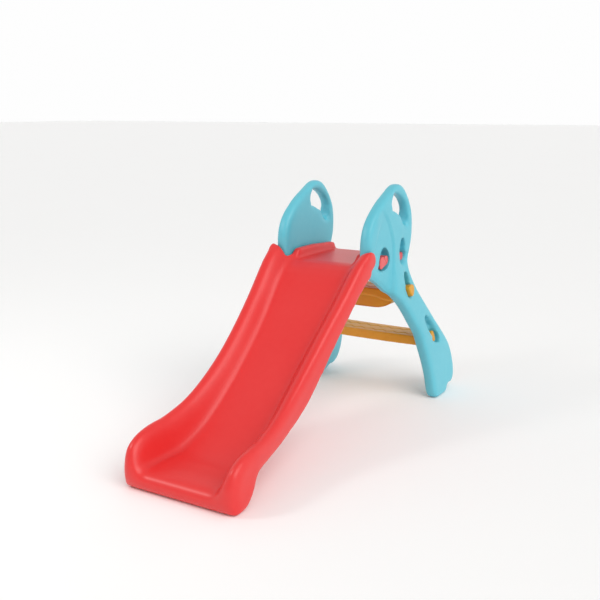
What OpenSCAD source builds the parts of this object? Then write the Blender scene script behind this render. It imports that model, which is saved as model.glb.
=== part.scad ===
// Folding toddler slide: a hollow plastic chute whose deck turns on two bosses
// between a pair of side panels, with two steps keyed into the panels.
// The exit faces -Y, the steps are at +Y, X runs across and the slide is symmetric about X = 0.
// The origin is on the floor, in the middle of the slide's length and width.

/* [Overall] */
// Length over the lip and the back of the feet
overall_l = 1450; // [1300:5:1750]
// Height of the top of the side panels
overall_h = 840; // [820:5:1010]
// Width over the feet of the side panels
overall_w = 600; // [560:5:680]

/* [Chute] */
// Width over the rims at the lip and at the deck
chute_w = 410; // [380:2:492]
// How far each side draws in at the waist of the chute
waist_inset = 23; // [10:1:30]
// Height of the deck's top
deck_h = 572; // [540:2:620]
// Thickness of the deck
deck_t = 32; // [26:1:40]
// Width of each raised edge of the deck
kerb_w = 28; // [22:1:34]
// How far the raised edges reach above the pivot axis
kerb_rise = 28; // [24:1:34]
// Radius of the round cheek that ends each rim, outside the panel
cheek_r = 34; // [28:1:40]
// Distance from the pivot axis forward to the cheek's centre
cheek_ahead = 126; // [118:1:134]
// Height of the cheek's centre above the pivot axis
cheek_rise = 15; // [8:1:20]

/* [Side panels] */
// Thickness of a side panel
panel_t = 46; // [40:1:56]
// Distance from the pivot axis back to the back of the feet
leg_reach = 487; // [440:1:590]
// Height at which the legs start to splay outwards
splay_h = 560; // [500:5:560]
// Radius of the front of the panel about the pivot axis
panel_front_r = 122; // [110:1:126]
// Depth of the recesses in the outer face
recess_d = 30; // [20:1:34]

/* [Pivot and stop] */
// Height of the pivot axis above the deck's top
pivot_rise = 6; // [2:1:10]
// Radius of the pivot boss where it turns in the panel
pivot_r = 16; // [12:0.5:18]
// Reach of the boss's head from the axis, in the panel's front recess
head_r = 40; // [34:1:44]
// Distance from the pivot axis back to the stop peg
peg_back = 174; // [160:1:182]
// How far the stop peg is below the pivot axis
peg_drop = 12; // [6:1:18]
// Radius of the stop peg
peg_r = 13; // [10:0.5:15]
// Radial clearance of the pivot boss in the panel
run_clear = 0.05; // [0.02:0.01:0.1]
// Gap at the side of the deck, and round the stop peg in its saddle
side_gap = 2; // [1:0.5:4]

/* [Steps] */
// Height of the upper step's top
upper_step_h = 447; // [420:1:470]
// Height of the lower step's top
lower_step_h = 240; // [200:1:290]
// Depth of each step from front to back
step_d = 120; // [100:1:144]
// Thickness of the steps at their ends
step_t = 36; // [28:1:43]
// How far the upper step's skirt hangs below its top
skirt_drop = 73; // [60:1:84]
// Radius of the round key at each end of a step
key_r = 16; // [12:0.5:18]
// How far the keys stand out of the legs' outer faces
key_out = 12; // [0:1:16]
// Clearance round each key
key_clear = 0.3; // [0.1:0.1:0.6]
// Bow of the steps' front and back edges
step_bow = 18; // [0:1:24]

/* [Screws] */
// Radius of the boss screws
screw_r = 2.5; // [2:0.1:3]
// Radius of their heads
screw_head_r = 5; // [4:0.1:6]
// Length under the head
screw_l = 30; // [24:1:36]

/* [Hidden] */
$fn = 72;
red = [0.86, 0.16, 0.14];
blue = [0.36, 0.75, 0.84];
yellow = [0.85, 0.60, 0.10];
pink = [0.84, 0.36, 0.36];
steel = [0.75, 0.76, 0.78];

lip_y = -overall_l / 2;
pivot_y = overall_l / 2 - leg_reach;
pivot_z = deck_h + pivot_rise;
run = pivot_y - lip_y;
top_rise = overall_h - pivot_z;

// The panels stand just inside the rims' outer faces, and the deck fits between them.
cheek_t = 13;
panel_out = chute_w / 2 - cheek_t - side_gap;
panel_in = panel_out - panel_t;
deck_half = panel_in - side_gap;
splay = atan((overall_w / 2 - panel_out) / splay_h);
front_clear = 3;
recess_floor = panel_out - recess_d;
peg_y = pivot_y + peg_back;
peg_z = pivot_z - peg_drop;

// Smooth curves through chosen points
function blend(a, b, c, d, t) =
    0.5 * (2 * b + (c - a) * t + (2 * a - 5 * b + 4 * c - d) * t * t + (3 * b - a - 3 * c + d) * t * t * t);
function closed_curve(p, n) = let (m = len(p))
    [for (i = [0:m - 1]) for (j = [0:n - 1]) blend(p[(i + m - 1) % m], p[i], p[(i + 1) % m], p[(i + 2) % m], j / n)];
function open_curve(p, n) = let (m = len(p))
    concat([for (i = [0:m - 2]) for (j = [0:n - 1])
        blend(p[max(i - 1, 0)], p[i], p[i + 1], p[min(i + 2, m - 1)], j / n)], [p[m - 1]]);
function column(p, k) = [for (q = p) [q[0], q[k]]];

// Chute: distance from the lip as a percentage of the run to the pivot, then the heights
// of the floor, the rim's crest, the side's lower edge and the underside, at a deck height of 572.
chute_rows = [
    [0, 33, 78, 28, 27],
    [2, 56, 127, 3, 2],
    [5, 62, 146, 0, 0],
    [8.5, 65, 159, 10, 9],
    [11.5, 66, 165, 40, 29],
    [14, 68, 169, 86, 42],
    [20, 76, 176, 103, 53],
    [32, 129, 216, 132, 105],
    [48, 243, 316, 203, 219],
    [67, 396, 470, 375, 372],
    [80, 519, 589, 495, 493],
    [87, 564, 628, 536, 533],
    [91, 571, 632, 541, 541]];
row_curve = open_curve(chute_rows, 5);
rise_k = deck_h / 572;
function percent(y) = 100 * (y - lip_y) / run;
function chute_z(y, k) = rise_k * max(0, lookup(percent(y), column(row_curve, k)));
function nose(y) = let (s = min((y - lip_y) / 30, 1)) 17 * (1 - sqrt(1 - pow(1 - s, 2)));
function waist(u) = u < 12 || u > 84 ? 0 : waist_inset * pow(sin(180 * (u - 12) / 72), 1.3);
function half_w(y) = chute_w / 2 - nose(y) - waist(percent(y));

// The rims are steeper inside at the exit than they are further up.
rim_w = 34;
function rim_slope(y) = 34 + 17 * ease(min(percent(y) / 24, 1));
function ease(t) = t * t * (3 - 2 * t);
function top_half(y) = let (w = half_w(y), f = chute_z(y, 1), c = chute_z(y, 2), i = w - rim_w - rim_slope(y))
    concat([[0, f], [i * 0.6, f]],
        [for (t = [0:0.2:1.001]) [i + rim_slope(y) * t, f + (c - 6 - f) * ease(t)]],
        [[w - 19, c], [w - 6, c - 8], [w, c - 26]]);
function low_half(y) = let (w = half_w(y), l = chute_z(y, 3), u = chute_z(y, 4), i = w - rim_w - rim_slope(y) - 8)
    concat([[0, u], [i * 0.6, u]],
        [for (t = [0:1 / 6:1.001]) [i + (w - 14 - i) * t, u + (l - u) * ease(t)]],
        [[w - 4, l + 1], [w, l + 8]]);
function both(h) = concat([for (k = [len(h) - 1:-1:1]) [-h[k][0], h[k][1]]], h);
function back_way(p) = [for (k = [len(p) - 1:-1:0]) p[k]];
function ring(y) = concat([for (q = both(top_half(y))) [q[0], y, q[1]]],
    [for (q = back_way(both(low_half(y)))) [q[0], y, q[1]]]);

sweep_end = pivot_y - 88;
nose_steps = 6;
foot_steps = 12;
slope_steps = 26;
foot_end = lip_y + run * 0.16;
stations = concat(
    [for (i = [0:nose_steps - 1]) lip_y + 40 * (1 - cos(90 * i / nose_steps))],
    [for (i = [0:foot_steps - 1]) lip_y + 40 + (foot_end - lip_y - 40) * i / foot_steps],
    [for (i = [0:slope_steps]) foot_end + (sweep_end - foot_end) * i / slope_steps]);

module chute_sweep() {
    n = 2 * (2 * len(top_half(0)) - 1);
    half = n / 2;
    m = len(stations);
    points = [for (y = stations) each ring(y)];
    skin = [for (s = [0:m - 2]) for (k = [0:n - 1]) let (a = s * n + k, b = s * n + (k + 1) % n)
        each [[a, b + n, b], [a, a + n, b + n]]];
    front = [for (k = [0:half - 2]) let (a = k, b = k + 1, c = n - 2 - k, d = n - 1 - k)
        each [[a, b, c], [a, c, d]]];
    shift = (m - 1) * n;
    back = [for (k = [0:half - 2]) let (a = k, b = k + 1, c = n - 2 - k, d = n - 1 - k)
        each [[a + shift, c + shift, b + shift], [a + shift, d + shift, c + shift]]];
    polyhedron(points = points, faces = concat(skin, front, back), convexity = 6);
}

module across(x0, x1) {
    translate([x0, 0, 0]) rotate([90, 0, 90]) linear_extrude(x1 - x0) children();
}

module both_sides() {
    children();
    mirror([1, 0, 0]) children();
}

// Deck: a slab between the panels with a raised edge along each side
deck_back = peg_y + peg_r + 10;
deck_front = sweep_end - 60;
module deck_outline() {
    corner = 12;
    low = deck_h - deck_t;
    hull() {
        translate([deck_front, low]) square([1, 8]);
        translate([sweep_end - 7, deck_h - 1]) square([1, 1]);
        translate([deck_back - corner, deck_h - corner]) circle(corner);
        translate([deck_back - corner, low + corner]) circle(corner);
    }
}

module kerb_outline() {
    top = pivot_z + kerb_rise;
    hull() {
        translate([deck_front + 30, deck_h - deck_t]) square([1, 20]);
        translate([pivot_y - 70, top - 12]) circle(12);
        translate([pivot_y + 40, top - 12]) circle(12);
        translate([deck_back - 14, peg_z + peg_r + 4]) circle(14);
        translate([deck_back - 12, deck_h - deck_t + 12]) circle(12);
    }
}

module saddle_outline() {
    r = peg_r + side_gap / 2;
    floor_z = deck_h - deck_t - 20;
    translate([peg_y, peg_z]) circle(r);
    polygon([[peg_y - r, peg_z], [peg_y + r, peg_z], [peg_y + r + 4, floor_z], [peg_y - r - 16, floor_z]]);
}

// What is taken off the rim's outer skin behind and round the cheek
module beyond_cheek() {
    size = 3 * cheek_r;
    difference() {
        translate([0, -size]) square([size, 2 * size]);
        circle(cheek_r);
    }
}

boss_in = deck_half - kerb_w + 4;
peg_in = deck_half - kerb_w + 6;
screw_x = deck_half - kerb_w / 2;
screw_foot = deck_h - deck_t + 6;
module chute() {
    color(red) difference() {
        union() {
            chute_sweep();
            across(-deck_half, deck_half) deck_outline();
            both_sides() across(deck_half - kerb_w, deck_half) kerb_outline();
            both_sides() translate([0, pivot_y - cheek_ahead, pivot_z + cheek_rise])
                across(chute_w / 2 - cheek_t, chute_w / 2 - 0.8) circle(cheek_r);
        }
        both_sides() translate([0, pivot_y - cheek_ahead, pivot_z + cheek_rise])
            across(chute_w / 2 - cheek_t - 1, chute_w / 2 + 1) beyond_cheek();
        both_sides() {
            translate([0, pivot_y, pivot_z]) across(deck_half, chute_w / 2 - cheek_t) {
                circle(panel_front_r + front_clear, $fn = 144);
                translate([-panel_front_r - front_clear, 0]) square([panel_front_r, overall_h - pivot_z]);
            }
            translate([0, pivot_y, pivot_z]) across(boss_in, deck_half + 1) circle(pivot_r + run_clear);
            across(peg_in - side_gap, deck_half + 1) saddle_outline();
            translate([screw_x, pivot_y, deck_h - deck_t - 1]) cylinder(r = screw_head_r + 0.5, h = 7);
            translate([screw_x, pivot_y, deck_h - deck_t]) cylinder(r = screw_r + 0.2, h = deck_t);
        }
    }
}

// Side panel outline: the front about the pivot axis, in shares of the front's radius,
// the wing above, in shares of its reach and its rise, and the leg, in shares of its reach
// and of the pivot's height.
front_points = [[-0.12, -0.76], [-0.44, -0.58], [-0.68, -0.48], [-0.87, -0.33], [-0.97, -0.14], [-1, 0.07]];
brow_points = [[-1, 0.14], [-1, 0.26], [-0.93, 0.41], [-0.75, 0.55], [-0.44, 0.68], [-0.04, 0.80]];
wing_points = [[0.19, 0.90], [0.33, 0.968], [0.46, 0.996], [0.59, 0.955], [0.715, 0.855], [0.83, 0.72], [0.91, 0.56],
    [0.935, 0.36], [0.92, 0.18], [0.86, 0.01]];
leg_points = [[0.435, -0.04], [0.42, -0.075], [0.44, -0.14], [0.51, -0.245], [0.60, -0.335], [0.695, -0.43],
    [0.80, -0.53], [0.905, -0.63], [0.96, -0.69], [0.99, -0.76], [1.0, -0.83], [0.993, -0.89], [0.965, -0.945],
    [0.90, -0.98], [0.85, -0.972], [0.82, -0.975], [0.785, -1.01], [0.70, -1.03], [0.60, -1.03], [0.545, -0.99],
    [0.53, -0.94], [0.537, -0.87], [0.52, -0.76], [0.485, -0.65], [0.45, -0.55], [0.385, -0.475], [0.29, -0.365],
    [0.20, -0.285], [0.075, -0.215]];
wing_reach = 262;
function panel_points() = concat(
    [for (p = front_points) [pivot_y + panel_front_r * p[0], pivot_z + panel_front_r * p[1]]],
    [for (p = brow_points) [pivot_y + panel_front_r * p[0], pivot_z + top_rise * p[1]]],
    [for (p = wing_points) [pivot_y + wing_reach * p[0], pivot_z + top_rise * p[1]]],
    [for (p = leg_points) [pivot_y + leg_reach * p[0], pivot_z + pivot_z * p[1]]]);
module panel_outline() {
    polygon(closed_curve(panel_points(), 3));
}

// Places a shape that is drawn against the wing's plane on the splayed leg.
module on_leg() {
    translate([panel_out, 0, splay_h]) rotate([0, -splay, 0]) translate([-panel_out, 0, -splay_h]) children();
}
function leg_out(z) = panel_out + max(0, splay_h - z) * tan(splay);
function leg_in(z) = leg_out(z) - panel_t / cos(splay);
// Height on the upright drawing of a point that is at height z on the leg's outer face
function leg_z(z) = splay_h - (splay_h - z) / cos(splay);

// Leaf: a pointed oval between two tips, given in the Y-Z plane
module leaf(low, high, w, sharp = 1) {
    l = norm(high - low);
    a = atan2(high[1] - low[1], high[0] - low[0]);
    translate(low) rotate(a) polygon([for (i = [0:47]) let (t = i * 7.5, c = (1 - cos(t)) / 2)
        [l * c, (w / 2) * (t < 180 ? 1 : -1) * pow(abs(sin(t)), sharp)]]);
}

key_upper_y = pivot_y + 173;
key_lower_y = pivot_y + 348;
key_upper_z = upper_step_h - 8;
key_lower_z = lower_step_h - 12;
handle_points = [[0.285, 0.865], [0.22, 0.80], [0.21, 0.72], [0.25, 0.655], [0.33, 0.64], [0.43, 0.60], [0.53, 0.545],
    [0.60, 0.475], [0.66, 0.40], [0.73, 0.41], [0.765, 0.48], [0.75, 0.60], [0.68, 0.71], [0.56, 0.80],
    [0.42, 0.855]];
module handle_outline() {
    polygon(closed_curve([for (p = handle_points) [pivot_y + wing_reach * p[0], pivot_z + top_rise * p[1]]], 4));
}

// The front recess and the head in it, in shares of the head's reach: the head has room
// in the recess at every angle of the fold.
recess_points = [[0.05, 1.13], [-0.4, 0.92], [-0.7, 0.47], [-0.84, -0.1], [-0.84, -0.55], [-0.6, -0.88],
    [-0.1, -0.98], [0.5, -0.96], [1.0, -0.76], [1.3, -0.35], [1.3, 0.1], [1.05, 0.56], [0.6, 0.96]];
head_points = [[-0.62, -0.2], [-0.55, 0.12], [-0.26, 0.29], [0.06, 0.24], [0.18, 0.06], [0.34, 0.26], [0.7, 0.3],
    [0.94, 0.1], [0.97, -0.2], [0.75, -0.44], [0.25, -0.6], [-0.15, -0.75], [-0.45, -0.77], [-0.65, -0.5]];
module front_recess() {
    translate([pivot_y, pivot_z]) polygon(closed_curve(head_r * recess_points, 4));
}

module rear_recess() {
    leaf([peg_y - 20, peg_z - 26], [peg_y - 20, peg_z + 72], 48, 0.8);
    translate([peg_y - 3, peg_z]) circle(peg_r + 6);
}

// Head of a step's key: a rounded pick, drawn about the key's centre
pick_points = [[-0.9, 0.95], [-0.3, 1.15], [0.5, 1.12], [0.95, 0.8], [0.9, 0.05], [0.45, -0.75], [-0.1, -1.1],
    [-0.65, -0.8], [-1.1, 0.05], [-1.25, 0.65]];
key_head_r = key_r + 4;
upper_turn = 0;
lower_turn = 38;
module pick(y, z, turn, grow = 0) {
    translate([y, z]) rotate(turn) polygon(closed_curve((key_head_r + grow) * pick_points, 4));
}

// Front edge of the splayed leg, about the pivot: ahead of it the panel stays upright,
// so it can pass the rim's cheek as it folds.
spar_edge = [[92, 40], [84, 10], [74, -50], [62, -105], [48, -160]];
spar_lap = 5;
module spar_area(ahead) {
    far = ahead ? -panel_front_r - 40 : leg_reach + 60;
    edge = [for (p = spar_edge) [p[0] + (ahead ? spar_lap : 0), p[1]]];
    foot = edge[len(edge) - 1];
    below = ahead ? [[far, foot[1]]] : [[foot[0], -pivot_z - 120], [far, -pivot_z - 120]];
    translate([pivot_y, pivot_z]) polygon(concat(edge, below, [[far, edge[0][1]]]));
}

module side_panel() {
    bottom = 120;
    difference() {
        union() {
            intersection() {
                across(panel_in, panel_out) panel_outline();
                union() {
                    translate([0, lip_y, splay_h - 4]) cube([overall_w, overall_l * 1.2, overall_h]);
                    across(0, overall_w) spar_area(true);
                }
            }
            on_leg() intersection() {
                across(panel_in, panel_out) panel_outline();
                translate([0, lip_y, -bottom]) cube([overall_w, overall_l * 1.2, splay_h + bottom + 4]);
                across(0, overall_w) spar_area(false);
            }
        }
        translate([0, lip_y, -2 * bottom]) cube([2 * overall_w, overall_l * 1.2, 2 * bottom]);
        across(panel_in - 1, panel_out + 1) handle_outline();
        across(recess_floor, panel_out + 20) front_recess();
        across(recess_floor, panel_out + 20) rear_recess();
        translate([0, pivot_y, pivot_z]) across(panel_in - 5, panel_out) circle(pivot_r + run_clear);
        translate([0, peg_y, peg_z]) across(panel_in - 5, panel_out) circle(peg_r + 0.02);
        on_leg() across(recess_floor, panel_out + 20) {
            leaf([key_upper_y + 2, key_upper_z - 12], [key_upper_y - 10, key_upper_z + 72], 40, 0.8);
            pick(key_upper_y, leg_z(key_upper_z), upper_turn, 2);
            leaf([key_lower_y + 30, key_lower_z - 30], [key_lower_y - 72, key_lower_z + 88], 50, 0.8);
            pick(key_lower_y, leg_z(key_lower_z), lower_turn, 2);
        }
        translate([0, key_upper_y, key_upper_z]) across(panel_in - 60, overall_w) circle(key_r + key_clear);
        translate([0, key_lower_y, key_lower_z]) across(panel_in - 60, overall_w) circle(key_r + key_clear);
    }
}

module right_panel() {
    color(blue) side_panel();
}

module left_panel() {
    color(blue) mirror([1, 0, 0]) side_panel();
}

// Cuts a step's end to lie against the splayed inner face of the leg.
end_gap = 0.3;
module between_legs() {
    intersection() {
        children();
        translate([-overall_w, lip_y, 0]) cube([2 * overall_w, 2 * overall_l, overall_h]);
        on_leg() translate([panel_in - end_gap - overall_w, lip_y, -overall_h])
            cube([overall_w, 2 * overall_l, 3 * overall_h]);
        mirror([1, 0, 0]) on_leg() translate([panel_in - end_gap - overall_w, lip_y, -overall_h])
            cube([overall_w, 2 * overall_l, 3 * overall_h]);
    }
}

// Plan of a step: its edges bow forwards in the middle
module step_plan(y_mid) {
    half = overall_w / 2;
    front = [for (i = [-8:8]) [half * i / 8, y_mid - step_d / 2 - step_bow * (1 - pow(i / 8, 2))]];
    back = [for (i = [8:-1:-8]) [half * i / 8, y_mid + step_d / 2 - step_bow * (1 - pow(i / 8, 2))]];
    polygon(concat(front, back));
}

module keys(y, z, turn, out) {
    both_sides() {
        translate([0, y, z]) across(leg_in(z) - 20, leg_out(z) - recess_d + 6) circle(key_r);
        on_leg() across(recess_floor + 0.5, panel_out + out) pick(y, leg_z(z), turn);
    }
}

upper_mid_y = key_upper_y + 12;
lower_mid_y = key_lower_y - 12;
skirt_half = 98;
module upper_front() {
    top = upper_step_h;
    bottom = top - skirt_drop;
    half = leg_in(top - step_t) + 30;
    corner = 52;
    board = step_t * 0.6;
    translate([-half, top - board]) square([2 * half, board]);
    hull() {
        for (s = [-1, 1]) translate([s * skirt_half, bottom + corner]) scale([1.5, 1]) circle(corner);
        translate([-skirt_half, bottom]) square([2 * skirt_half, 4]);
    }
}

module upper_step() {
    color(yellow) union() {
        between_legs() intersection() {
            translate([0, 0, upper_step_h - skirt_drop]) linear_extrude(skirt_drop) step_plan(upper_mid_y);
            translate([0, pivot_y + leg_reach, 0]) rotate([90, 0, 0]) linear_extrude(2 * leg_reach) upper_front();
        }
        keys(key_upper_y, key_upper_z, upper_turn, key_out);
    }
}

module lower_step() {
    color(yellow) union() {
        between_legs() translate([0, 0, lower_step_h - step_t]) linear_extrude(step_t) step_plan(lower_mid_y);
        keys(key_lower_y, key_lower_z, lower_turn, -key_out);
    }
}

// Pivot boss: a round shank through the panel into the deck, and a notched head in the recess
head_t = recess_d - 5;
module boss_head() {
    polygon(closed_curve(head_r * head_points, 4));
}

module pivot_boss() {
    difference() {
        translate([0, pivot_y, pivot_z]) union() {
            across(boss_in + 0.5, recess_floor + 2) circle(pivot_r);
            across(recess_floor + 0.5, recess_floor + 0.5 + head_t) boss_head();
        }
        translate([screw_x, pivot_y, pivot_z - pivot_r - 1]) cylinder(r = screw_r + 0.02, h = pivot_r + 6);
    }
}

module right_pivot_boss() {
    color(pink) pivot_boss();
}

module left_pivot_boss() {
    color(pink) mirror([1, 0, 0]) pivot_boss();
}

// Stop peg: fixed in the panel, it carries the back of the deck in the saddle
peg_head_t = 14;
module stop_peg() {
    translate([0, peg_y, peg_z]) union() {
        across(peg_in, recess_floor + 1) circle(peg_r);
        across(recess_floor + 0.02, recess_floor + peg_head_t) circle(peg_r + 2);
    }
}

module right_stop_peg() {
    color(pink) stop_peg();
}

module left_stop_peg() {
    color(pink) mirror([1, 0, 0]) stop_peg();
}

// Boss screw: driven up through the deck's underside into the boss's shank
module boss_screw() {
    head_h = 4;
    translate([screw_x, pivot_y, screw_foot]) {
        cylinder(r = screw_r, h = screw_l);
        translate([0, 0, -head_h]) cylinder(r = screw_head_r, h = head_h);
    }
}

module right_boss_screw() {
    color(steel) boss_screw();
}

module left_boss_screw() {
    color(steel) mirror([1, 0, 0]) boss_screw();
}

chute();
right_panel();
left_panel();
upper_step();
lower_step();
right_pivot_boss();
left_pivot_boss();
right_stop_peg();
left_stop_peg();
right_boss_screw();
left_boss_screw();
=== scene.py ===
import math
import bmesh
import bpy
import numpy as np
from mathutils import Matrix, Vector, kdtree


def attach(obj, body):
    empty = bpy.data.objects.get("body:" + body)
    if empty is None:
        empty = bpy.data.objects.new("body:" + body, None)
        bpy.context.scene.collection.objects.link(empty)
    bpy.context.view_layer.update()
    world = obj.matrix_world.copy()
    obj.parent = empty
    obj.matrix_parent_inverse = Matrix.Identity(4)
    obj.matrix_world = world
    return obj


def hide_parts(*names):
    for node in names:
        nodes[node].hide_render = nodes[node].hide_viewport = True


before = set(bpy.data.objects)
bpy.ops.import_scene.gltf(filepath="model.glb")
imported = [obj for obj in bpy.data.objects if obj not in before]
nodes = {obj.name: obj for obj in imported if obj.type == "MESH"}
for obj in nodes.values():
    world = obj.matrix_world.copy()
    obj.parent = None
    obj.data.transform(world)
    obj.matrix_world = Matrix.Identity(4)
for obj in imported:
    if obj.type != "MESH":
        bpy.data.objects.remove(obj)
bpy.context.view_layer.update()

scene = bpy.context.scene


# ---- camera, light and floor

view = {"place": (1.465, -2.467, 1.099), "turn": 31.0, "tilt": 12.6, "lens": 51.2, "film": 36, "reach": 200}
lamps = [
    # name, place, aim, size, power, colour
    ("softBox", (-1.7, -1.9, 2.3), (0, -0.2, 0.25), 0.7, 15, (1.0, 0.99, 0.97)),
]
windowLight = {"from": (2.3, -1.0, 2.5), "power": 1.45, "spread": 50, "colour": (1.0, 0.985, 0.96),
               "room": ((0.12, 0.99), (0.75, 0.55)), "front": 0.72,
               "dimFrom": (-0.9, 0.1)}
floorValues = {"size": 120.0, "tone": (0.985, 0.985, 0.985, 1), "pale": (0.995, 0.995, 0.995, 1)}


def aim(thing, target):
    way = Vector(target) - thing.location
    thing.rotation_euler = way.to_track_quat("-Z", "Y").to_euler()


def makeStage():
    lens = bpy.data.cameras.new("camera")
    lens.sensor_width = view["film"]
    lens.lens = view["lens"]
    lens.clip_end = view["reach"]
    cam = bpy.data.objects.new("camera", lens)
    scene.collection.objects.link(cam)
    cam.location = view["place"]
    turn, tilt = math.radians(view["turn"]), math.radians(view["tilt"])
    way = Vector((-math.sin(turn) * math.cos(tilt), math.cos(turn) * math.cos(tilt), -math.sin(tilt)))
    cam.rotation_euler = way.to_track_quat("-Z", "Y").to_euler()
    scene.camera = cam
    for name, place, target, size, power, colour in lamps:
        light = bpy.data.lights.new(name, "AREA")
        light.shape = "DISK"
        light.size = size
        light.energy = power
        light.color = colour
        lamp = bpy.data.objects.new(name, light)
        scene.collection.objects.link(lamp)
        lamp.location = place
        aim(lamp, target)
    sun = bpy.data.lights.new("windowLight", "SUN")
    sun.energy = windowLight["power"]
    sun.angle = math.radians(windowLight["spread"])
    sun.color = windowLight["colour"]
    lamp = bpy.data.objects.new("windowLight", sun)
    scene.collection.objects.link(lamp)
    lamp.location = windowLight["from"]
    aim(lamp, (0, 0, 0))
    makeRoom()
    scene.view_settings.view_transform = "Standard"
    mesh = bpy.data.meshes.new("floor")
    half = floorValues["size"] / 2
    corners = [(-half, -half, 0), (half, -half, 0), (half, half, 0), (-half, half, 0)]
    mesh.from_pydata(corners, [], [(0, 1, 2, 3)])
    floor = bpy.data.objects.new("floor", mesh)
    scene.collection.objects.link(floor)
    return floor


def makeRoom():
    # the room is white near the floor and darker overhead
    world = bpy.data.worlds.new("room")
    world.use_nodes = True
    tree = world.node_tree
    coords = tree.nodes.new("ShaderNodeTexCoord")
    split = tree.nodes.new("ShaderNodeSeparateXYZ")
    ramp = tree.nodes.new("ShaderNodeValToRGB")
    tree.links.new(coords.outputs["Generated"], split.inputs[0])
    tree.links.new(split.outputs["Z"], ramp.inputs[0])
    for element, (height, tone) in zip(ramp.color_ramp.elements, windowLight["room"]):
        element.position = height
        element.color = (tone, tone, tone, 1)
    tree.links.new(ramp.outputs[0], tree.nodes["Background"].inputs["Color"])
    # and its front half is dimmer, so that faces turned to the front are in half shade
    dim = tree.nodes.new("ShaderNodeMapRange")
    tree.links.new(split.outputs["Y"], dim.inputs["Value"])
    frontAt, backAt = windowLight["dimFrom"]
    limits = {"From Min": frontAt, "From Max": backAt, "To Min": windowLight["front"], "To Max": 1.0}
    for key, value in limits.items():
        dim.inputs[key].default_value = value
    tree.links.new(dim.outputs[0], tree.nodes["Background"].inputs["Strength"])
    scene.world = world


# ---- materials

class Wire:
    # a socket that can stand in a sum
    def __init__(self, tree, socket):
        self.tree = tree
        self.socket = socket

    def maths(self, operation, *values):
        node = self.tree.nodes.new("ShaderNodeMath")
        node.operation = operation
        for place, value in zip(node.inputs, values):
            if isinstance(value, Wire):
                self.tree.links.new(value.socket, place)
            else:
                place.default_value = value
        return Wire(self.tree, node.outputs[0])

    def __add__(self, other):
        return self.maths("ADD", self, other)

    def __radd__(self, other):
        return self.maths("ADD", other, self)

    def __sub__(self, other):
        return self.maths("SUBTRACT", self, other)

    def __rsub__(self, other):
        return self.maths("SUBTRACT", other, self)

    def __mul__(self, other):
        return self.maths("MULTIPLY", self, other)

    def __rmul__(self, other):
        return self.maths("MULTIPLY", other, self)

    def limit(self):
        node = self.maths("ADD", self, 0.0)
        node.socket.node.use_clamp = True
        return node


class Finish:
    # one material, with a single way to add a node
    def __init__(self, name):
        self.material = bpy.data.materials.new(name)
        self.material.use_nodes = True
        self.tree = self.material.node_tree
        self.shader = self.tree.nodes["Principled BSDF"]

    def add(self, kind, settings=None, output=0, **values):
        node = self.tree.nodes.new(kind)
        for key, value in (settings or {}).items():
            setattr(node, key, value)
        for key, value in values.items():
            place = node.inputs[int(key[1:])] if key[0] == "n" and key[1:].isdigit() else node.inputs[key]
            self.plug(value, place)
        return Wire(self.tree, node.outputs[output])

    def plug(self, value, place):
        if isinstance(value, Wire):
            self.tree.links.new(value.socket, place)
        else:
            place.default_value = value

    def span(self, value, reach):
        # 0 at the first end of the reach and 1 at the second
        return self.add("ShaderNodeMapRange", {"clamp": True}, Value=value, n1=reach[0], n2=reach[1],
                        n3=0.0, n4=1.0)

    def mix(self, share, first, second):
        return self.add("ShaderNodeMix", {"data_type": "RGBA"}, output=2, n0=share, n6=first, n7=second)

    def set(self, **values):
        for key, value in values.items():
            self.plug(value, self.shader.inputs[key.replace("_", " ")])


plastics = {
    # moulded plastics: colour, a paler tone for random patches and for a painted sheen on edges, and a
    # deeper tone for the painted shade in hollows
    "red": {"colour": (0.75, 0.019, 0.020, 1), "pale": (0.80, 0.048, 0.042, 1),
            "paintedShade": (0.46, 0.006, 0.010, 1), "rough": 0.36, "grain": 0.10},
    "blue": {"colour": (0.088, 0.49, 0.61, 1), "pale": (0.20, 0.59, 0.68, 1),
             "paintedShade": (0.002, 0.26, 0.44, 1), "rough": 0.40, "grain": 0.11},
    "yellow": {"colour": (0.64, 0.27, 0.002, 1), "pale": (0.80, 0.44, 0.040, 1),
               "paintedShade": (0.34, 0.13, 0.001, 1), "rough": 0.42, "grain": 0.12},
    "pink": {"colour": (0.74, 0.080, 0.085, 1), "pale": (0.82, 0.17, 0.17, 1),
             "paintedShade": (0.50, 0.02, 0.03, 1), "rough": 0.38, "grain": 0.08},
}
# scales are waves per metre; edge and hollow are spans of the pointiness
skinValues = {"cloud": 5.5, "mottle": 46.0, "skin": 1150.0, "peel": 120.0, "hairs": 15.0,
              "edge": (0.50, 0.60), "hollow": (0.50, 0.42), "scuff": (0.60, 0.72), "coat": 0.10,
              "bumpDeep": 0.0006}
steelValues = {"brushed": 900.0, "dark": (0.52, 0.53, 0.55, 1), "light": (0.70, 0.71, 0.72, 1),
               "bumpDeep": 0.0003}


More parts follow.
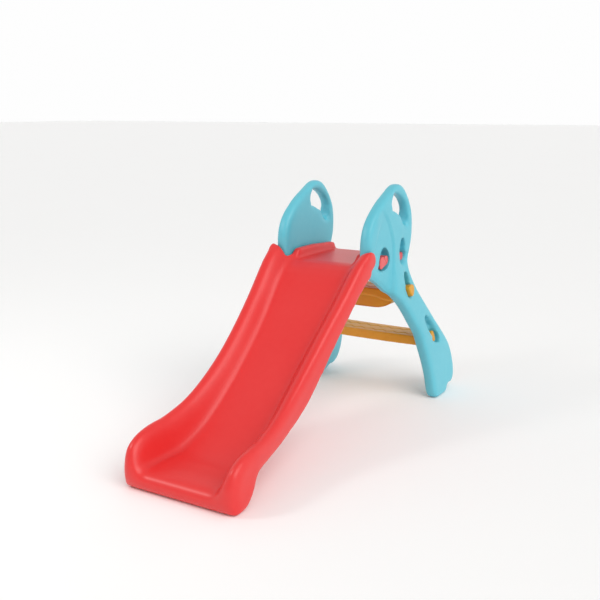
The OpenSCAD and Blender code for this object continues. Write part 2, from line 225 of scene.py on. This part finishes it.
def plastic(name, look):
    v = skinValues
    f = Finish(name)
    place = f.add("ShaderNodeTexCoord", output=3)
    cloud = f.add("ShaderNodeTexNoise", Vector=place, Scale=v["cloud"], Detail=3.0, Roughness=0.55)
    mottle = f.add("ShaderNodeTexNoise", Vector=place, Scale=v["mottle"], Detail=4.0, Roughness=0.6)
    skin = f.add("ShaderNodeTexNoise", Vector=place, Scale=v["skin"], Detail=2.0, Roughness=0.5)
    peel = f.add("ShaderNodeTexNoise", Vector=place, Scale=v["peel"], Detail=2.0, Roughness=0.5)
    hairs = f.add("ShaderNodeTexNoise", {"noise_dimensions": "4D"}, Vector=place, W=3.0, Scale=v["hairs"],
                  Detail=8.0, Roughness=0.75, Distortion=1.6)
    point = f.add("ShaderNodeNewGeometry", output=7)
    edge, hollow = f.span(point, v["edge"]), f.span(point, v["hollow"])
    scuff = f.span(hairs, v["scuff"])
    blotch = (0.55 * cloud + 0.45 * mottle - 0.5) * 1.6
    # paler in random patches and with a painted sheen on edges; darker with painted shade in hollows
    tone = f.mix((blotch * 0.5 + 0.22 + edge * 0.35).limit(), look["colour"], look["pale"])
    # painted shade: the tone is darkened towards the deeper colour in hollows, where shade falls
    tone = f.mix((hollow * 0.45).limit(), tone, look["paintedShade"])
    rough = look["rough"] + blotch * 0.05 + scuff * 0.07 + edge * 0.04 + (skin - 0.5) * 0.08
    bump = f.add("ShaderNodeBump", Height=skin * 0.6 + peel * 0.4 + scuff * 0.25, Strength=look["grain"],
                 Distance=v["bumpDeep"])
    f.set(Base_Color=tone, Roughness=rough.limit(), Normal=bump, Coat_Weight=v["coat"] + edge * 0.03,
          Coat_Roughness=0.30, IOR=1.5, Subsurface_Weight=0.0)
    return f.material


def screwSteel():
    v = steelValues
    f = Finish("screwSteel")
    place = f.add("ShaderNodeTexCoord", output=3)
    brushed = f.add("ShaderNodeTexNoise", Vector=place, Scale=v["brushed"], Detail=3.0)
    f.set(Base_Color=f.mix(brushed, v["dark"], v["light"]), Metallic=1.0,
          Roughness=(0.24 + brushed * 0.18).limit(),
          Normal=f.add("ShaderNodeBump", Height=brushed, Strength=0.2, Distance=v["bumpDeep"]))
    return f.material


def floorFinish():
    f = Finish("paleFloor")
    place = f.add("ShaderNodeTexCoord", output=3)
    cloud = f.add("ShaderNodeTexNoise", Vector=place, Scale=0.7, Detail=3.0)
    f.set(Base_Color=f.mix(cloud, floorValues["tone"], floorValues["pale"]), Roughness=0.6,
          Specular_IOR_Level=0.25)
    return f.material


# ---- shaping

def voxelCopy(node, name, voxel):
    # a copy of the CAD solid with an even skin of small faces
    source = bpy.data.objects.new(name + "Source", nodes[node].data.copy())
    scene.collection.objects.link(source)
    weld = bmesh.new()
    weld.from_mesh(source.data)
    bmesh.ops.remove_doubles(weld, verts=weld.verts, dist=0.00002)
    weld.to_mesh(source.data)
    weld.free()
    remesh = source.modifiers.new("skin", "REMESH")
    remesh.mode = "VOXEL"
    remesh.voxel_size = voxel
    remesh.use_smooth_shade = True
    graph = bpy.context.evaluated_depsgraph_get()
    mesh = bpy.data.meshes.new_from_object(source.evaluated_get(graph))
    bpy.data.objects.remove(source)
    mesh.name = name
    piece = bpy.data.objects.new(name, mesh)
    scene.collection.objects.link(piece)
    return piece


def points(mesh):
    flat = np.empty(len(mesh.vertices) * 3)
    mesh.vertices.foreach_get("co", flat)
    return flat.reshape(-1, 3)


def normals(mesh):
    flat = np.empty(len(mesh.vertices) * 3, np.float32)
    mesh.vertices.foreach_get("normal", flat)
    return flat.reshape(-1, 3).astype(float)


def put(mesh, place):
    mesh.vertices.foreach_set("co", place.ravel())
    mesh.update()


def relax(mesh, rounds, strength=0.5, keep=None):
    # evens the skin out, so that every hard edge turns into a soft moulded one
    count = len(mesh.vertices)
    edges = np.empty(len(mesh.edges) * 2, np.int64)
    mesh.edges.foreach_get("vertices", edges)
    a, b = edges[0::2], edges[1::2]
    share = np.bincount(a, minlength=count) + np.bincount(b, minlength=count)
    share = np.maximum(share, 1)[:, None]
    place = points(mesh)
    weight = np.ones((count, 1)) if keep is None else (1 - keep)[:, None]
    for _ in range(rounds):
        total = np.empty_like(place)
        for k in range(3):
            total[:, k] = np.bincount(a, place[b, k], count) + np.bincount(b, place[a, k], count)
        place += (total / share - place) * strength * weight
    put(mesh, place)


def ease(value, low, high):
    t = np.clip((value - low) / (high - low), 0, 1)
    return t * t * (3 - 2 * t)


def smoothPath(corners, steps=8):
    # a smooth open path through the corners
    out = []
    p = [corners[0]] + list(corners) + [corners[-1]]
    for i in range(1, len(p) - 2):
        a, b, c, d = (np.array(p[i + k], float) for k in (-1, 0, 1, 2))
        for s in range(steps):
            t = s / steps
            out.append(0.5 * (2 * b + (c - a) * t + (2 * a - 5 * b + 4 * c - d) * t * t
                              + (3 * b - a - 3 * c + d) * t ** 3))
    out.append(np.array(corners[-1], float))
    return np.array(out)


def sideOf(path, y, z):
    # signed distance from a path in the Y-Z plane, positive on the left of its direction,
    # and how far along the path the nearest point is
    best = np.full(len(y), 1e9)
    sign = np.ones(len(y))
    along = np.zeros(len(y))
    start = 0.0
    for (y0, z0), (y1, z1) in zip(path[:-1], path[1:]):
        dy, dz = y1 - y0, z1 - z0
        size = dy * dy + dz * dz
        if size == 0:
            continue
        t = np.clip(((y - y0) * dy + (z - z0) * dz) / size, 0, 1)
        far = np.hypot(y - (y0 + t * dy), z - (z0 + t * dz))
        cross = dy * (z - z0) - dz * (y - y0)
        near = far < best
        best = np.where(near, far, best)
        sign = np.where(near, np.sign(cross), sign)
        along = np.where(near, start + t * math.sqrt(size), along)
        start += math.sqrt(size)
    return best * sign, along


def finishPiece(piece, material, body, slot, *replaced):
    piece.data.materials.clear()
    piece.data.materials.append(material)
    piece.data.shade_smooth()
    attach(piece, body)
    if replaced:
        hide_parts(*replaced)
    return piece


def mirrored(piece, name):
    # the same moulding for the other side
    mesh = piece.data.copy()
    mesh.name = name
    place = points(mesh)
    place[:, 0] *= -1
    mesh.flip_normals()
    put(mesh, place)
    twin = bpy.data.objects.new(name, mesh)
    scene.collection.objects.link(twin)
    return twin


# ---- chute

# the lip runs between two Y places, and the sole is kept flat up to the second height
chuteValues = {"voxel": 0.0036, "rounds": 26, "lipRounds": 90, "lip": (-0.725, -0.655),
               "sole": (0.002, 0.03)}


def makeChute():
    piece = voxelCopy("chute", "chuteMoulding", chuteValues["voxel"])
    mesh = piece.data
    relax(mesh, chuteValues["rounds"])
    # the lip is a rounder bull nose than the rest
    front, back = chuteValues["lip"]
    place = points(mesh)
    keep = ease(place[:, 1], front, back)
    keep = np.maximum(keep, 1 - ease(place[:, 2], *chuteValues["sole"]))
    relax(mesh, chuteValues["lipRounds"], keep=keep)
    return piece


# ---- side panels

panelValues = {
    "voxel": 0.0026,
    "rounds": 16,
    "rimRounds": 120,
    # how far from an opening's wall the skin stays crisp, and where it is as soft as the rim
    "crisp": (0.003, 0.012),
    # where the leg splays away from the wing, and how wide a band is smoothed there
    "joint": [(0.312, 0.500), (0.298, 0.455), (0.262, 0.455), (0.230, 0.475)],
    "jointRounds": 90,
    "jointBand": (0.012, 0.045),
    # where the raised spar starts: a swirl round the pivot and down the leg
    "swirl": [(0.165, 0.762), (0.200, 0.758), (0.235, 0.743), (0.273, 0.703), (0.304, 0.650), (0.317, 0.600),
              (0.312, 0.520), (0.298, 0.470), (0.290, 0.420)],
    "rise": 0.0060,
    "fadeIn": 0.115,
    "edge": (-0.004, 0.009),
    "wing": (0.40, 0.47),
    # y, z and reach of each opening, whose edges stay crisper
    "openings": [(0.250, 0.582, 0.050), (0.392, 0.575, 0.030), (0.392, 0.618, 0.026), (0.402, 0.450, 0.030),
                 (0.400, 0.490, 0.026), (0.595, 0.215, 0.030), (0.555, 0.262, 0.030), (0.520, 0.305, 0.024),
                 (0.300, 0.778, 0.022), (0.345, 0.768, 0.024), (0.388, 0.742, 0.024), (0.420, 0.712, 0.020)],
}


def nearOpening(place, out):
    # 1 at the wall of an opening, down to 0 a little way off
    v = panelValues
    hollow = np.full(len(place), 1e9)
    for y, z, reach in v["openings"]:
        hollow = np.minimum(hollow, np.hypot(place[:, 1] - y, place[:, 2] - z) - reach)
    walls = np.flatnonzero((np.abs(out[:, 0]) < 0.5) & (hollow < 0))
    tree = kdtree.KDTree(len(walls))
    for k, i in enumerate(walls):
        tree.insert(place[i], k)
    tree.balance()
    toWall = np.array([tree.find(spot)[2] for spot in place])
    return 1 - ease(toWall, *v["crisp"])


def makePanel():
    v = panelValues
    piece = voxelCopy("right_panel", "rightPanel", v["voxel"])
    mesh = piece.data
    relax(mesh, v["rounds"])
    # the outer rim is rounder than the edges of the openings
    place = points(mesh)
    joint, _ = sideOf(smoothPath(v["joint"]), place[:, 1], place[:, 2])
    relax(mesh, v["rimRounds"], keep=nearOpening(place, normals(mesh)))
    relax(mesh, v["jointRounds"], keep=ease(np.abs(joint), *v["jointBand"]))
    # the spar stands proud of the wing, more and more along its swirl
    place, out = points(mesh), normals(mesh)
    away, along = sideOf(smoothPath(v["swirl"]), place[:, 1], place[:, 2])
    outward = ease(out[:, 0], 0.3, 0.8)
    nearWing = ease(place[:, 2], *v["wing"]) * ease(along, 0, v["fadeIn"])
    place[:, 0] += v["rise"] * (ease(away, *v["edge"]) - 1) * outward * nearWing
    put(mesh, place)
    relax(mesh, 3)
    return piece


# ---- steps

stepValues = {
    "voxel": 0.0020, "rounds": 12, "bow": 0.018, "half": 0.300,
    # zigzag grooves in the treads
    "pitch": 0.047, "swing": 0.0085, "grooveHalf": 0.0050, "grooveDeep": 0.0040, "lines": (-0.030, 0.022),
    "upper": {"node": "upper_step", "name": "upperStep", "mid": 0.420, "top": 0.447, "end": 0.148},
    "lower": {"node": "lower_step", "name": "lowerStep", "mid": 0.574, "top": 0.240, "end": 0.186},
    # the skirt's step: how far below the top, how far it dips at the ends, and how deep it is
    "waveDrop": 0.027, "waveDip": 0.013, "waveDeep": 0.0045, "waveEnds": (0.085, 0.150),
    "waveEdge": (-0.004, 0.002),
    # the band under the top where the grooves fade, and how far they stop from the ends
    "topBand": (0.006, 0.003), "endBand": 0.012,
}


def makeStep(which):
    v = stepValues
    own = v[which]
    piece = voxelCopy(own["node"], own["name"], v["voxel"])
    mesh = piece.data
    relax(mesh, v["rounds"])
    place, out = points(mesh), normals(mesh)
    x, y, z = place.T
    bow = v["bow"] * (1 - (x / v["half"]) ** 2)
    across = y - (own["mid"] - bow)
    low, high = v["topBand"]
    onTop = ease(out[:, 2], 0.6, 0.95) * ease(z, own["top"] - low, own["top"] - high)
    onTop *= 1 - ease(np.abs(x), own["end"] - v["endBand"], own["end"])
    saw = np.abs((x / v["pitch"]) % 1 * 2 - 1) * 2 - 1
    cut = np.zeros(len(place))
    for line in v["lines"]:
        off = np.abs(across - line - v["swing"] * saw)
        cut = np.maximum(cut, 1 - ease(off, 0.0008, v["grooveHalf"]))
    place[:, 2] -= v["grooveDeep"] * cut * onTop
    if which == "upper":
        wave = own["top"] - v["waveDrop"] - v["waveDip"] * ease(np.abs(x), *v["waveEnds"])
        onFront = ease(-out[:, 1], 0.5, 0.9)
        place[:, 1] += v["waveDeep"] * onFront * (1 - ease(z - wave, *v["waveEdge"]))
    put(mesh, place)
    relax(mesh, 2)
    return piece


# ---- bosses and pegs

bossValues = {"voxel": 0.0011, "rounds": 9, "axis": (0.238, 0.578), "face": 0.180, "dome": 0.0035,
              "domeReach": 0.036,
              "crease": [(0.243, 0.584), (0.252, 0.573), (0.268, 0.562)], "creaseDeep": 0.0016,
              "creaseEdge": (0.0006, 0.004)}
pegValues = {"voxel": 0.0012, "rounds": 8}


def makeBoss():
    v = bossValues
    piece = voxelCopy("right_pivot_boss", "rightBoss", v["voxel"])
    mesh = piece.data
    relax(mesh, v["rounds"])
    place, out = points(mesh), normals(mesh)
    far = np.hypot(place[:, 1] - v["axis"][0], place[:, 2] - v["axis"][1])
    onFace = ease(out[:, 0], 0.4, 0.9) * ease(place[:, 0], v["face"], v["face"] + 0.003)
    crease = np.abs(sideOf(smoothPath(v["crease"]), place[:, 1], place[:, 2])[0])
    sink = v["dome"] * (far / v["domeReach"]) ** 2 + v["creaseDeep"] * (1 - ease(crease, *v["creaseEdge"]))
    place[:, 0] -= onFace * sink
    put(mesh, place)
    return piece


def makePeg():
    piece = voxelCopy("right_stop_peg", "rightPeg", pegValues["voxel"])
    relax(piece.data, pegValues["rounds"])
    return piece


print("stage")
floor = makeStage()
floor.data.materials.append(floorFinish())

print("materials")
red = plastic("redPlastic", plastics["red"])
blue = plastic("bluePlastic", plastics["blue"])
yellow = plastic("yellowPlastic", plastics["yellow"])
pink = plastic("pinkPlastic", plastics["pink"])
steel = screwSteel()

print("chute")
finishPiece(makeChute(), red, "slide", "red_plastic", "chute")

print("panels")
right = makePanel()
left = mirrored(right, "leftPanel")
finishPiece(right, blue, "ladder", "blue_plastic", "right_panel")
finishPiece(left, blue, "ladder", "blue_plastic", "left_panel")

print("steps")
finishPiece(makeStep("upper"), yellow, "ladder", "yellow_plastic", "upper_step")
finishPiece(makeStep("lower"), yellow, "ladder", "yellow_plastic", "lower_step")

print("bosses, pegs and screws")
boss = makeBoss()
twin = mirrored(boss, "leftBoss")
finishPiece(boss, pink, "slide", "pink_plastic", "right_pivot_boss")
finishPiece(twin, pink, "slide", "pink_plastic", "left_pivot_boss")
peg = makePeg()
twin = mirrored(peg, "leftPeg")
finishPiece(peg, pink, "ladder", "pink_plastic", "right_stop_peg")
finishPiece(twin, pink, "ladder", "pink_plastic", "left_stop_peg")
for side in ("right", "left"):
    cad = nodes[side + "_boss_screw"]
    cad.data.materials.clear()
    cad.data.materials.append(steel)
